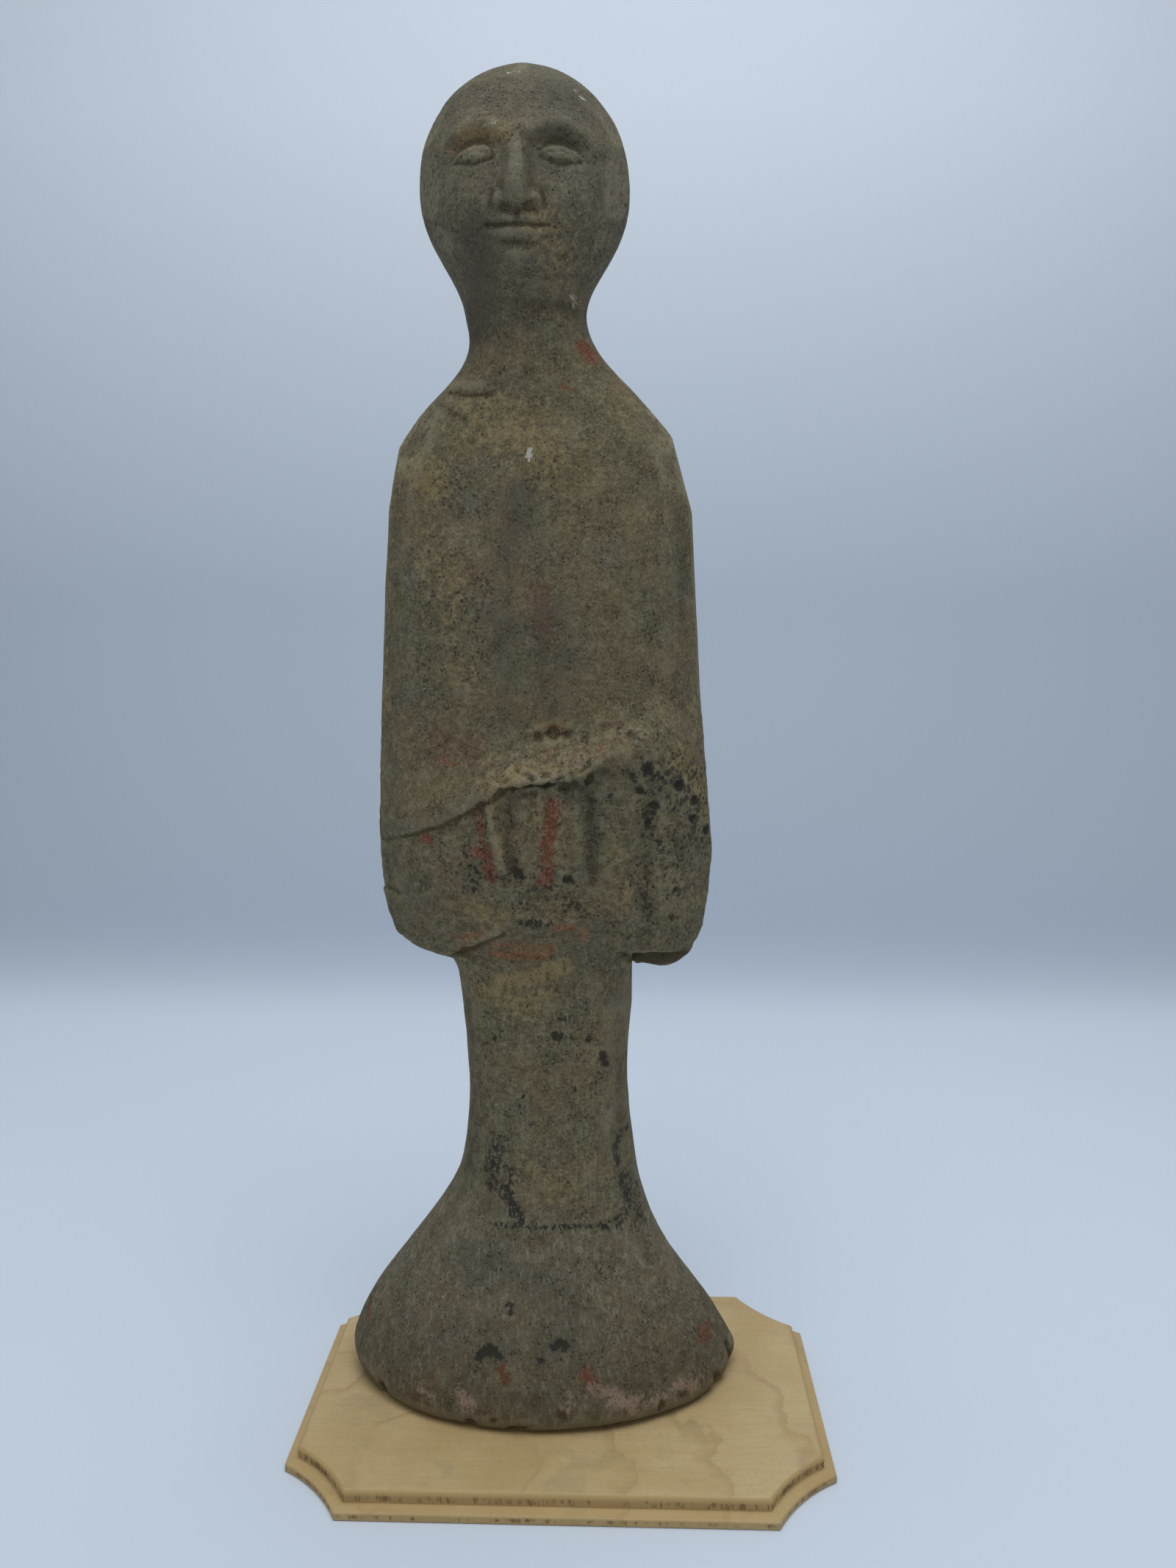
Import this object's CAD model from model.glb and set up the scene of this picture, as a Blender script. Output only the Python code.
"""The looks of a moulded terracotta man standing on a small moulded wooden base.

Metres, +Z up, in the frame of the solids. Places on the man are in millimetres, as they would be
measured on the piece: across from his middle line, deep from his middle with his front at less than
nothing, and level over his foot. Left and right are those of someone who faces him.
"""

import math

import bmesh
import bpy
import numpy as np
from mathutils import Matrix, Vector, noise


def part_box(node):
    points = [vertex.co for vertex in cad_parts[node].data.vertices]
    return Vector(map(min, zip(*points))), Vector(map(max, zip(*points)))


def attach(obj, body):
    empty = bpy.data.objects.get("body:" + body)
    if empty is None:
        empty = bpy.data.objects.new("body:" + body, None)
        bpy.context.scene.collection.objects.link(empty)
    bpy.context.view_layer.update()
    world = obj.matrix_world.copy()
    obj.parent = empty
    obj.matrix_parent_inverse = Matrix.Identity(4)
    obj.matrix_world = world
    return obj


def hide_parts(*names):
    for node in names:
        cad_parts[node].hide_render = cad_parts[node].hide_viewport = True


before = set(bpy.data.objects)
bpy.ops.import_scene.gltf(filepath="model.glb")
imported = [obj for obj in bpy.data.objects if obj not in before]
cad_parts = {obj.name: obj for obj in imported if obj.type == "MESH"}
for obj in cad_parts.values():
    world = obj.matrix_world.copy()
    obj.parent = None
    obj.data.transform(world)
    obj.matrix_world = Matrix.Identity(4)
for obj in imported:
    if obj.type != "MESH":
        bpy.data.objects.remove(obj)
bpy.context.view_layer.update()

# The camera. It stands a foot in front of the man at the height of his chest, a little to the right,
# and looks slightly down. Its frame is the upright one of 1600 by 2133.
CAMERA_PLACE = (0.0152, -0.330, 0.2321)
CAMERA_TURNS_LEFT = math.radians(1.49)
CAMERA_LOOKS_DOWN = math.radians(7.5)
CAMERA_LEANS = math.radians(0.15)
SENSOR_HEIGHT = 36
FOCAL_PER_FRAME_HEIGHT = 1603 / 2133
CAMERA_CLIP_START = 0.01

camera_data = bpy.data.cameras.new("camera")
camera_data.sensor_width = SENSOR_HEIGHT
camera_data.lens = SENSOR_HEIGHT * FOCAL_PER_FRAME_HEIGHT
camera_data.clip_start = CAMERA_CLIP_START
camera = bpy.data.objects.new("camera", camera_data)
bpy.context.scene.collection.objects.link(camera)
bpy.context.scene.camera = camera
camera.matrix_world = (
    Matrix.Translation(CAMERA_PLACE)
    @ Matrix.Rotation(CAMERA_TURNS_LEFT, 4, "Z")
    @ Matrix.Rotation(math.pi / 2 - CAMERA_LOOKS_DOWN, 4, "X")
    @ Matrix.Rotation(CAMERA_LEANS, 4, "Z")
)

# The studio. One pale blue-grey sheet is the floor and sweeps up behind as the backdrop, well clear of
# the man, and it is tinted deeper where it leaves the floor. A large soft panel hangs overhead, and a
# weak one stands behind the camera, a little to its left.
SHEET_HALF_WIDTH = 2.5
SHEET_FRONT = -3.0
SHEET_BEND_STARTS = 0.42
SHEET_BEND = 0.26
SHEET_TOP = 2.2
SHEET_BEND_STEPS = 24
SHEET_FLOOR = (0.70, 0.74, 0.80, 1)
SHEET_LOW = (0.445, 0.495, 0.56, 1)
SHEET_HIGH = (0.777, 0.802, 0.839, 1)
SHEET_ROUGHNESS = 0.9
SHEET_DEEPENS = (0.33, 0.53)
SHEET_PALES = (0.03, 0.65)


class Finish:
    """A value, colour or place in a material. Python's operators on it add Math nodes."""

    def __init__(self, tree, socket=None):
        self.tree = tree
        self.socket = socket

    def node(self, kind, settings=None, sockets=None, output=0):
        """Adds a node, with its settings first and then its sockets, and gives one of its outputs."""
        made = self.tree.nodes.new("ShaderNode" + kind)
        for name, value in (settings or {}).items():
            setattr(made, name, value)
        for name, value in (sockets or {}).items():
            if isinstance(value, Finish):
                self.tree.links.new(value.socket, made.inputs[name])
            else:
                made.inputs[name].default_value = value
        return Finish(self.tree, made.outputs[output])

    def to(self, shader, name):
        """Leads this into one of the shader's sockets."""
        self.tree.links.new(self.socket, shader.inputs[name])

    def math(self, operation, *values):
        return self.node("Math", {"operation": operation}, dict(enumerate(values)))

    def __add__(self, other):
        return self.math("ADD", self, other)

    __radd__ = __add__

    def __sub__(self, other):
        return self.math("SUBTRACT", self, other)

    def __rsub__(self, other):
        return self.math("SUBTRACT", other, self)

    def __mul__(self, other):
        return self.math("MULTIPLY", self, other)

    def either(self, other):
        return self.math("MAXIMUM", self, other)

    def rising(self, low, high):
        """0 up to low, 1 from high on, and smooth between them. It falls instead where high is the lower."""
        ends = {"Value": self, "From Min": low, "From Max": high}
        return self.node("MapRange", {"interpolation_type": "SMOOTHSTEP"}, ends)

    def mix(self, under, over):
        """The colour under this mask where it is 0, and over it where it is 1."""
        return self.node("Mix", {"data_type": "RGBA"}, {0: self, 6: under, 7: over}, 2)

    def moved(self, operation, *others, output=0):
        """A place changed by a Vector Math node."""
        return self.node("VectorMath", {"operation": operation}, dict(enumerate((self, *others))), output)

    def axis(self, index):
        """One of the three numbers of a place."""
        return self.node("SeparateXYZ", {}, {"Vector": self}, index)

    def grain(self, size, detail=2.0, roughness=0.5, output=0):
        """Soft noise whose spots are about this size at this place."""
        sockets = {"Vector": self, "Scale": 1 / size, "Detail": detail, "Roughness": roughness}
        return self.node("TexNoise", {}, sockets, output)

    def crumbs(self, size):
        """How far this place is from the nearest of many scattered points about this far apart."""
        return self.node("TexVoronoi", {}, {"Vector": self, "Scale": 1 / size})

    def painted(self, name):
        """An attribute of the piece."""
        return self.node("Attribute", {"attribute_name": name}, {}, 2)

    def left_of(self, name, thickness, breaks, raggedness, loss, full):
        """What is left of a painted attribute that a noise breaks up: 0 where it is lost, and up to 1."""
        left = self.painted(name) * thickness + (breaks - 0.5) * raggedness - loss
        return left.rising(0.0, full)


def new_material(name, colour, roughness):
    """A material, its shader, and a Finish on its tree. The even values go on the shader's own sockets."""
    material = bpy.data.materials.new(name)
    material.use_nodes = True
    shader = material.node_tree.nodes["Principled BSDF"]
    shader.inputs["Base Color"].default_value = (*colour, 1.0)
    shader.inputs["Roughness"].default_value = roughness
    return material, shader, Finish(material.node_tree)


def new_piece(name, mesh, material):
    """An object at the origin, from a mesh or a bmesh, with its material."""
    if isinstance(mesh, bmesh.types.BMesh):
        data = bpy.data.meshes.new(name)
        mesh.to_mesh(data)
        mesh.free()
        mesh = data
    mesh.materials.clear()
    mesh.materials.append(material)
    mesh.shade_smooth()
    piece = bpy.data.objects.new(name, mesh)
    bpy.context.scene.collection.objects.link(piece)
    return piece


def swept_sheet():
    """The studio's sheet, drawn back from its front edge, spun up through the bend and drawn up."""
    mesh = bmesh.new()
    ends = [mesh.verts.new((side * SHEET_HALF_WIDTH, SHEET_FRONT, 0)) for side in (-1, 1)]
    edges = [mesh.edges.new(ends)]

    def draw(edges, move):
        made = bmesh.ops.extrude_edge_only(mesh, edges=edges)["geom"]
        bmesh.ops.translate(mesh, verts=[g for g in made if isinstance(g, bmesh.types.BMVert)], vec=move)
        return [g for g in made if isinstance(g, bmesh.types.BMEdge) and len(g.link_faces) == 1
                and all(v in made for v in g.verts)]

    edges = draw(edges, (0, SHEET_BEND_STARTS - SHEET_FRONT, 0))
    spun = bmesh.ops.spin(
        mesh,
        geom=edges,
        cent=(0, SHEET_BEND_STARTS, SHEET_BEND),
        axis=(1, 0, 0),
        angle=math.pi / 2,
        steps=SHEET_BEND_STEPS,
    )["geom_last"]
    draw([g for g in spun if isinstance(g, bmesh.types.BMEdge)], (0, 0, SHEET_TOP - SHEET_BEND))
    bmesh.ops.recalc_face_normals(mesh, faces=mesh.faces)
    return mesh


sheet_material, sheet_shader, finish = new_material("pale_sheet", SHEET_FLOOR[:3], SHEET_ROUGHNESS)
place = finish.node("TexCoord", output=3)
paling = (place.axis(2) - SHEET_PALES[0]) * (1 / (SHEET_PALES[1] - SHEET_PALES[0]))
backdrop = paling.mix(SHEET_LOW, SHEET_HIGH)
place.axis(1).rising(*SHEET_DEEPENS).mix(SHEET_FLOOR, backdrop).to(sheet_shader, "Base Color")
studio_sheet = new_piece("studio_sheet", swept_sheet(), sheet_material)

SOFT_PANELS = (
    # name, place, what it faces, size, power
    ("panel_overhead", (0.03, -0.12, 1.10), (0.0, 0.02, 0.0), 0.9, 8.5),
    ("panel_front", (-0.25, -1.3, 0.75), (0.0, 0.0, 0.2), 0.9, 0.8),
)
DAYLIGHT = (0.86, 0.93, 1.0)
for name, stands_at, looks_at, size, power in SOFT_PANELS:
    panel_data = bpy.data.lights.new(name, "AREA")
    panel_data.size = size
    panel_data.energy = power
    panel_data.color = DAYLIGHT
    panel = bpy.data.objects.new(name, panel_data)
    panel.location = stands_at
    panel.rotation_euler = (Vector(looks_at) - Vector(stands_at)).to_track_quat("-Z", "Y").to_euler()
    bpy.context.scene.collection.objects.link(panel)

AIR_COLOUR = (0.80, 0.90, 1.0, 1.0)
AIR_STRENGTH = 0.30
studio_air = bpy.data.worlds.new("studio_air")
bpy.context.scene.world = studio_air
studio_air.use_nodes = True
studio_air.node_tree.nodes["Background"].inputs["Color"].default_value = AIR_COLOUR
studio_air.node_tree.nodes["Background"].inputs["Strength"].default_value = AIR_STRENGTH
bpy.context.scene.view_settings.view_transform = "Standard"

# The man. He is a hollow figure of grey-brown terracotta, pressed in a front and a back mould, with the
# seams down his sides pared flat with a knife. His joined forearms carry long sleeves whose cuffs hang
# in worn folds. Here his solid is closed into an even skin of clay, and the finer marks are pressed in.
MILLIMETRES = 1000
man_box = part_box("terracotta_man")
MAN_TOP = (man_box[1].z - man_box[0].z) * MILLIMETRES
MAN_MIDDLE = np.array((-0.007, 0.013, man_box[0].z))
TOUCHING = 1e-6
QUAD_ANGLE = math.radians(35)
QUAD_SHAPE = math.radians(50)
ROUNDING_LEVELS = 2
SKIN_GAP = 0.00138
SKIN_SMOOTHING = 3
FINE_SKIN_SMOOTHING = 1

# Where the skin is twice as fine: across from and to, level from and to.
FINE_SKIN = ((-50, 50, 122, 206), (-34, 26, 312, 366))

# How much a point faces the front, or a side, where a mark starts to take there and where it is full.
FACES_FRONT = (0.0, 0.35)
FACES_SIDEWAYS = (0.35, 0.7)

# Strokes of a modelling tool over his front: the path, its width and its depth. Less than no depth is
# a raised stroke.
TOOL_STROKES = (
    # The crease under the left forearm, and the crack where the forearms meet.
    (((-48, 164.8), (-43.5, 165.6), (-34.6, 168.6), (-26.7, 171.6), (-18.1, 176.4), (-13, 179.4)), 0.6, 0.24),
    (((-9, 182), (-5.7, 183), (0, 183.8), (5, 184.2)), 0.55, 0.7),
    # The back of the ledge that the forearms make.
    (((-9, 193), (-1, 195.6), (4, 197.6), (12.7, 196.6), (21, 200), (28, 202)), 1.6, 0.5),
    # The folds of the cuffs.
    (((-7.3, 180), (-6.1, 157)), 2.8, 0.6),
    (((-12.8, 177), (-9.4, 160)), 1.3, -0.75),
    (((14.6, 182), (15.4, 157)), 2.2, 0.55),
    (((11.2, 181), (11.6, 160)), 1.8, -0.25),
    (((30.2, 178), (30.6, 146)), 2.6, 0.5),
    (((34, 177), (33.5, 148)), 2.4, -0.35),
    # The cuffs' hems. The left one is turned up.
    (((-25, 132.8), (-17.3, 136.2), (-9.5, 141)), 0.8, 0.55),
    (((-24, 136), (-16, 139.6), (-9, 143.6)), 1.6, -0.35),
    # The fold of clay pushed up where the left shoulder meets the neck.
    (((-24.5, 289.4), (-18, 288.0), (-12.2, 287.6)), 0.7, 0.75),
    (((-24, 291.4), (-17, 290.2)), 1.6, -0.35),
    (((-27, 286), (-20, 281)), 1.2, 0.35),
    # Dents and a shallow scrape over the breast and the robe.
    (((-30, 262), (-24, 240)), 6.0, 0.35),
    (((-2, 236), (2, 214)), 6.0, 0.45),
    (((8, 118), (6, 90)), 7.0, 0.4),
    (((-12, 100), (-10, 74)), 4.0, -0.3),
)

# The forearms' upper edge over his front, across and level. Then how far the cuffs are set back under it
# at each place across, how far down the edge is rounded, and where the setting back fades out.
CREST = (
    (-49, 164.6), (-43.5, 166.2), (-34.6, 169.2), (-26.7, 172.2), (-18.1, 177.1), (-12.7, 180.4),
    (-9, 182.6), (-5.7, 184.0), (2.5, 184.9), (10, 185.2), (13, 186.6), (18, 190.2), (24, 191.6),
    (30, 191.9), (37, 193), (49, 189),
)
CREST_SET_BACK = (
    (-49, 0), (-40, 0.12), (-25, 0.45), (-14, 1.1), (-8, 2.0), (3, 2.0), (10, 1.6), (20, 1.0), (30, 0.4),
    (40, 0.1),
)
CREST_ROUNDS = ((-49, 0.7), (-12, 0.9), (8, 1.1), (14, 3.0), (24, 6), (49, 7))
CREST_FADES = (5, 20)
CREST_STARTS = -0.4

# The crest is ragged and crumbled in front of the hands: where across this begins and is full, and where
# it ends and is full. Then how far from the crest it reaches, and the half width of the crumbled line.
BY_HANDS = ((-20, -8), (26, 14))
RAGGED_REACH = 8
CRUMBLED_HALF_WIDTH = 3.2

# The worn face, in millimetres beside its middle line and over the chin: each form's place, half width,
# half height and relief, on both sides alike. Then its strokes: path, width and depth. Then the nose:
# level over the chin, half width and relief.
FACE_ACROSS = -4.5
CHIN_LEVEL = 317.7
FACE_FORMS = (
    (11.2, 30.6, 6.2, 3.4, -1.0), (11.2, 28.3, 4.6, 2.0, 1.2), (13.2, 17, 6, 6, 0.6),
    (4.9, 16.2, 1.7, 1.7, 0.9), (2.7, 14.2, 1.1, 0.8, -0.6), (2.6, 11.7, 2.9, 1.2, 0.6),
    (0, 8.1, 4.8, 1.4, 0.8), (0, 5.6, 4.4, 1.2, -0.4), (0, 2.4, 5.6, 3.2, 1.0), (8.8, 10.2, 1.3, 1.3, -0.35),
)
FACE_STROKES = (
    (((3.6, 32.8), (7.6, 35.6), (12.4, 36.2), (17.4, 33.6), (19.6, 30.8)), 2.0, -0.45),
    (((5.4, 27.6), (8.0, 30.2), (11.4, 31.1), (15.4, 29.4), (17.4, 27.2)), 0.7, 0.4),
    (((5.2, 27.4), (8.2, 29.2), (11.4, 29.8), (14.8, 28.6), (17.0, 26.9)), 0.6, -0.3),
    (((6.2, 27.3), (8.6, 28.3), (11.4, 28.6), (14.2, 27.9), (16.2, 26.9)), 0.45, 0.35),
    (((6.2, 26.6), (11.2, 25.4), (16.2, 26.6)), 0.6, 0.45),
    (((0, 9.7), (2.4, 10.0), (5.0, 10.0), (7.8, 10.4)), 0.6, 0.65),
    (((0, 13.8), (0, 12.4)), 0.8, 0.3),
    (((6.9, 14.8), (6.4, 17.4)), 0.8, 0.5),
)
NOSE = (
    (12.6, 3.4, 0), (14.6, 3.2, 1.2), (16.2, 3.2, 2.4), (18.4, 2.9, 2.3), (24, 2.3, 1.5), (30, 2.1, 0.9),
    (36, 3.4, 0.2),
)
NOSE_STARTS = (12, 13)

# Pits and lost specks of clay on his front: across, level, radius, depth.
PITS = (
    (30.3, 188.2, 2.0, 0.8), (39.0, 182.8, 1.7, 0.9), (43.5, 177.9, 1.5, 0.9), (28.1, 182.3, 1.4, 0.6),
    (32.0, 177.9, 1.5, 0.7), (43.1, 172.9, 1.2, 0.7), (47.5, 168.7, 1.4, 0.8), (30.3, 172.7, 1.3, 0.6),
    (38.5, 153.3, 1.0, 0.5), (37.1, 145.3, 1.2, 0.5), (8.5, 157.7, 1.9, 0.5), (-5.3, 159.2, 2.0, 0.5),
    (-0.9, 144.7, 2.6, 0.4), (0.5, 196.6, 1.8, 0.5), (4.3, 197.5, 2.4, 0.9), (8.0, 197.0, 1.6, 0.5),
    (25.3, 197.2, 1.6, 0.5), (5.2, 110.1, 1.7, 0.5), (14.2, 109.1, 1.2, 0.4), (18.3, 102.7, 1.2, 0.5),
    (19.1, 100.7, 0.9, 0.4), (-13.8, 20.6, 2.2, 0.35), (6.5, 22.8, 2.0, 0.35), (-17.7, 1.5, 1.2, 1.0),
    (-3.7, 1.2, 0.9, 0.9),
)

# Marks down his left and right sides: the side, their path as deep and level, width and depth. They are
# the open seam on the left arm, two nicks over it, and the broken flake at the skirt's right tip.
SIDE_MARKS = (
    (-1, ((-3, 211), (-4, 198), (-3, 184)), 0.9, 1.1),
    (-1, ((-2, 260), (0, 259.4)), 1.2, 0.8),
    (-1, ((-3, 249.6), (0, 249)), 1.0, 0.7),
    (1, ((-7, 9), (-8, 3)), 0.9, 1.3),
    (1, ((-3, 7), (2, 5)), 3.0, -0.9),
)

# The strips that the knife pared, each on one side and turned to the front by an angle: the levels that
# it is straight between, and the depth of the cut at each. Then the deepest cut, the depth from which a
# point is pared, and the shares of its unevenness and of its grit that the knife takes off.
PARED_STRIPS = (
    (-1, 4, ((137, 0.1), (150, 0.5), (168, 0.25), (207, 0.3), (258, 0.4), (276, 0.35), (300, 0))),
    (1, 4, ((137, 0.1), (150, 0.4), (162, 0.3), (205, 0.3), (258, 0.4), (279, 0.35), (300, 0))),
    (-1, 42, ((258, 0), (270, 0.45), (281, 0.6), (296, 0.25), (304, 0))),
    (1, 38, ((262, 0), (276, 0.35), (288, 0.4), (302, 0))),
    (-1, 24, ((16, 0), (36, 0.12), (60, 0.10), (94, 0.16), (121, 0.16), (130, 0.1))),
    (1, 18, ((16, 0), (36, 0.10), (60, 0.08), (94, 0.12), (121, 0.12), (126, 0.1))),
    (-1, 28, ((303, 0), (311, 0.16), (320, 0.2), (333, 0.14), (352, 0.08), (366, 0))),
    (1, 26, ((303, 0), (311, 0.14), (320, 0.16), (333, 0.12), (352, 0.1), (366, 0))),
)
DEEPEST_PARING = 1.6
PARED_FROM = (0.01, 0.08)
PARING_EVENS = 0.6
PARING_CLEARS = 0.8

# The sleeves' hems beside the robe, across and level. The right one is broken back in front, so its
# back half shows below. The cuffs' outer corners have a side, and how far out they are at each level.
HEM_LEVELS = (116, 150)
LEFT_HEM = ((-48, 139.5), (-44, 138), (-40, 136.2), (-34, 132.6), (-24.8, 131.6))
RIGHT_HEM_FRONT = ((26, 134.6), (33, 135.0), (39, 133.6), (43, 133.4), (49, 136))
RIGHT_HEM_BACK = ((26, 130), (30, 127), (34, 125.4), (40.5, 127.6), (43.4, 129.6), (46, 134), (49, 142))
RIGHT_HEM_BREAK = (-12, -9)
LOWER_LIP_OF_BREAK = (34.2, 4.6, 2.2)
LOWER_LIP_LEVELS = (135, 129)
LOWER_LIP_DEEP = (-12, -8)
CUFF_CORNERS = (
    (-1, ((135.8, 44.0), (138.2, 44.2), (144, 45.8), (150, 47.2))),
    (1, ((129.4, 43.4), (134, 45.6), (142, 48.0), (149, 49.2))),
)
CUFF_CORNER_STARTS = (30, 42)
ROBE_SIDE = 26.2

# Noise in layers, each with its height, the size of its lumps and its seed: on the ragged crest, on the
# clay that is uneven under the hand, and on the earth that clings to it.
RAGGED_CREST = ((1.5, 3.2, 8), (0.9, 1.5, 9))
UNEVEN_CLAY = ((0.28, 17, 1), (0.10, 6, 2), (0.05, 2.5, 3))
CLINGING_EARTH = ((0.24, 3.1, 4), (0.16, 1.5, 5))
GRITTY_LEVELS = ((118, 135), (206, 196))

# What is lost in spots: its depth, the noise's size and seed, and the noise where it starts and is full.
CHIPS = (0.9, 5, 6, (0.22, 0.5))
CRUMBS = (1.0, 2.6, 7, (-0.1, 0.4))
RIM_LEVELS = (9, 2)

# The gap under the foot at the front right: its height, its middle and half width across, and where it
# starts and is full to the front and down.
RIM_GAP = 0.8
RIM_GAP_ACROSS = (24, 15)
RIM_GAP_DEEP = (-18, -26)
RIM_GAP_LEVELS = (2.5, 0)

# Hollows are where the skin lies under itself evened out. Forms wider than a hollow are taken off again.
HOLLOW_PASSES = 8
WIDE_FORM_PASSES = 60
FULL_HOLLOW = 0.5

# Paint and stains on his front: path, width and strength. Where the strength times the fall from the
# path's middle passes a half, most of the mark is left.
RED_PAINT = (
    (((-15.7, 177), (-14.6, 167)), 1.8, 0.76),
    (((-17, 164.8), (-12.6, 164.6)), 2.2, 0.95),
    (((-14, 165.5), (-12.3, 158)), 2.4, 1.0),
    (((4.8, 178.4), (4.2, 174)), 2.7, 1.05),
    (((3.8, 174), (3.0, 166.4)), 2.6, 1.05),
    (((3.2, 165), (3.4, 161)), 2.1, 0.85),
    (((2.8, 159.6), (2.4, 156.8)), 2.5, 1.05),
    (((-31.2, 167.6), (-30.4, 167.4)), 1.5, 1.05),
    (((2.8, 192.3), (3.2, 192.4)), 1.1, 0.8),
    (((17.5, 194.2), (18, 194)), 0.9, 0.8),
    (((21.9, 190.4), (22.4, 190.3)), 0.9, 0.7),
    (((-26, 189.4), (-22, 188.6)), 1.6, 0.66),
    (((48.4, 16.6), (49.6, 15.4)), 2.4, 0.95),
    (((-10, 16.6), (-8.8, 14.6)), 2.0, 1.0),
    (((14, 15.6), (15.8, 13.4)), 2.2, 1.05),
    (((-30.2, 12.9), (-29.8, 12.5)), 1.1, 0.75),
    (((-53.2, 20), (-52.8, 18)), 1.3, 0.8),
    (((12.2, 301), (14.5, 298.8)), 2.6, 1.1),
    (((7, 290), (8, 288.6)), 1.6, 0.7),
)
ORANGE_PAINT = (
    (((-12.2, 134.2), (-5, 134.0), (3.4, 134.8)), 1.3, 0.95),
    (((-11.6, 137.6), (-6, 137.2), (2, 137.0)), 1.2, 0.72),
    (((-12.4, 133.6), (-12.2, 138)), 1.0, 0.85),
    (((1.0, 134.4), (3.6, 136.4)), 1.5, 0.8),
    (((-8, 135.8), (-2, 135.6)), 1.8, 0.55),
    (((5.2, 143), (9.8, 143.4)), 1.3, 0.95),
    (((12.6, 142.4), (13.1, 138.6)), 1.0, 0.85),
    (((-24, 139), (-16, 141)), 2.0, 0.62),
    (((1, 199), (7, 199.4)), 1.4, 0.7),
    (((-22, 348), (-18, 350)), 2.0, 0.5),
)
FAINT_RED = (
    (((-26, 193), (-18, 193)), 7.0, 0.75),
    (((-16, 190), (-14, 176)), 6.0, 0.5),
    (((-22, 136), (-8, 134)), 4.0, 0.6),
    (((30, 20), (40, 17)), 8.0, 0.45),
    (((1, 236), (2, 226)), 5.0, 0.8),
    (((-8, 256), (-6, 250)), 4.0, 0.6),
    (((-16, 244), (-12, 226)), 5.0, 0.45),
    (((-20, 330), (-12, 322)), 5.0, 0.35),
)
BLACK_PAINT = (
    (((-7.3, 181), (-6.6, 168)), 3.2, 0.36),
    (((-6.6, 168), (-5.8, 158)), 3.2, 0.44),
    (((-5.8, 159.6), (-4.8, 158.8)), 2.2, 0.9),
    (((14.6, 181), (15.4, 157)), 3.0, 0.42),
    (((30.2, 177), (30.6, 147)), 2.6, 0.40),
    (((8, 183.6), (12, 184), (18, 188)), 2.4, 0.40),
    (((7.8, 157.6), (9.2, 157.8)), 1.9, 0.75),
    (((-4.8, 144.7), (3.1, 144.8)), 1.9, 0.7),
    (((23, 198), (28, 196)), 3.2, 0.52),
    (((22, 142), (30, 140)), 4.2, 0.44),
    (((2.6, 197.6), (8.4, 197)), 1.1, 0.62),
    (((30.3, 189.4), (30.3, 187)), 1.7, 1.0),
    (((39, 184), (39, 181.6)), 1.5, 1.1),
    (((43.5, 178.6), (43.5, 177.4)), 1.2, 1.1),
    (((28.1, 182.5), (28.5, 182.1)), 1.2, 0.9),
    (((31.6, 178.4), (32.4, 177.4)), 1.4, 1.0),
    (((43.1, 173.3), (43.1, 172.5)), 1.0, 1.0),
    (((47.5, 169.6), (47.5, 167.8)), 1.1, 1.1),
    (((30.3, 173.8), (30.3, 171.6)), 1.1, 1.0),
    (((20, 181.4), (20.2, 180.8)), 1.4, 0.75),
    (((24, 187.6), (28, 185.6)), 2.4, 0.5),
    (((33, 186), (35, 184)), 1.6, 0.6),
    (((33.4, 168), (34.4, 165)), 1.3, 0.6),
    (((-19.8, 164.8), (-19.4, 164.2)), 1.1, 0.8),
    (((-17.5, 154.6), (-17.1, 154)), 1.0, 0.8),
    (((-14, 79), (-8.6, 78)), 1.6, 0.6),
    (((-11.2, 79), (-12.6, 76)), 3.8, 0.50),
    (((-12.2, 75), (-14.2, 68), (-14.0, 64.6)), 3.8, 0.66),
    (((-9, 70), (-8.4, 64)), 2.8, 0.56),
    (((-10.2, 64), (-8, 60), (-5.6, 54.6)), 2.6, 0.82),
    (((-12.6, 53.2), (-6, 53.4), (2, 53.6), (9, 53.5)), 1.2, 0.62),
    (((9, 53.4), (18, 52.6), (24, 52.2)), 1.2, 0.70),
    (((22.6, 52), (25.8, 55), (25.4, 60), (23.8, 65.6)), 2.8, 0.66),
    (((22.8, 69), (21.6, 73), (23.2, 77.4)), 1.4, 0.85),
    (((23.4, 78), (27.2, 77)), 1.4, 0.8),
    (((28.4, 60), (30, 49)), 2.5, 0.56),
    (((-16.6, 19.6), (-13.8, 21.4), (-10.8, 20.0)), 1.8, 1.05),
    (((4.6, 22.5), (6.5, 23.4), (8.2, 22.1)), 1.6, 1.0),
    (((0.9, 19.6), (1.3, 19.4)), 1.3, 0.85),
    (((6.4, 19.8), (6.8, 19.6)), 1.2, 0.8),
    (((-20.4, 23.2), (-20, 22.6)), 1.1, 0.8),
    (((-8.2, 32), (-8, 31)), 1.6, 0.85),
    (((4.6, 110.4), (6.0, 109.8)), 1.8, 1.0),
    (((14.2, 109.1), (14.5, 108.9)), 1.3, 0.95),
    (((18.3, 103.6), (18.9, 100.7)), 1.4, 1.0),
    (((-13, 109.2), (-12.8, 108.8)), 1.0, 0.95),
    (((-4.8, 91.8), (-4.6, 91.4)), 0.9, 0.95),
    (((10, 94.3), (10.2, 93.9)), 0.9, 0.95),
    (((-2, 84), (-1.8, 83.6)), 0.8, 0.9),
)
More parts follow.
